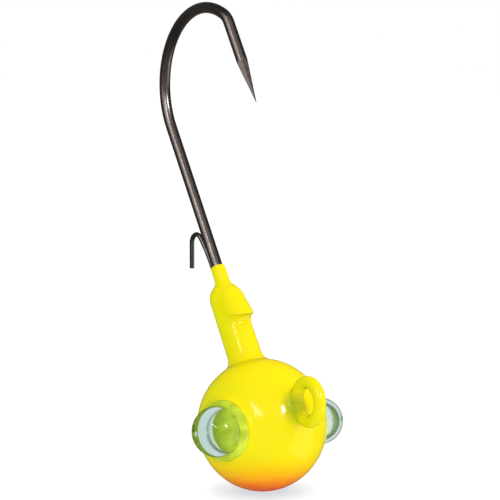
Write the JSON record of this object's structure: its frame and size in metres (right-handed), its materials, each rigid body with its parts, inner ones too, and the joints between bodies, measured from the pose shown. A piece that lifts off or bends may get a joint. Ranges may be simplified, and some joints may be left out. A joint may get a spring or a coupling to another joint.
{
  "type": "rattle jig head",
  "caption": "Round-ball jig head on a long round-bend hook, with a glass rattle vial set crosswise, a line eye, a bait thorn and a wire bait keeper.",
  "frame": {"origin": "centre of the line eye's hole, which the jig hangs from", "axes": "+Z along the hook's shank from the head to the bend; +X towards the line eye's open side and the hook's point; +/-Y along the glass vial and through the line eye"},
  "size_m": [0.0249, 0.0181, 0.0518],
  "materials": {
    "yellow_paint": "gloss fluorescent powder coat, chartreuse yellow",
    "orange_paint": "gloss fluorescent orange, faded into the yellow",
    "lead": "cast lead alloy, dull grey",
    "black_nickel": "black nickel plated carbon steel",
    "keeper_wire": "dark spring wire, cut end bright",
    "vial_glass": "clear drawn glass with a green tint",
    "clear_glue": "clear adhesive, glossy",
    "ball_steel": "polished bearing balls"
  },
  "bodies": {
    "root": {"lead_casting": "lead", "base_coat": "yellow_paint", "nose_coat": "orange_paint", "hook": "black_nickel", "bait_keeper": "keeper_wire", "glass_vial": "vial_glass", "vial_adhesive": "clear_glue"},
    "ball_1": {"rattle_ball_1": "ball_steel"},
    "ball_2": {"rattle_ball_2": "ball_steel"},
    "ball_3": {"rattle_ball_3": "ball_steel"}
  },
  "joints": [
    {"name": "ball_1_roll", "type": "slide", "parent": "root", "child": "ball_1", "axis": [0, 1, 0], "range_m": [-0.0035, 0.0003]},
    {"name": "ball_2_roll", "type": "slide", "parent": "root", "child": "ball_2", "axis": [0, 1, 0], "range_m": [-0.0035, 0.0003]},
    {"name": "ball_3_roll", "type": "slide", "parent": "root", "child": "ball_3", "axis": [0, 1, 0], "range_m": [-0.0035, 0.0003]}
  ],
  "couplings": [
    {"joint": "ball_2_roll", "follows": "ball_1_roll", "ratio": 1},
    {"joint": "ball_3_roll", "follows": "ball_1_roll", "ratio": 1}
  ]
}
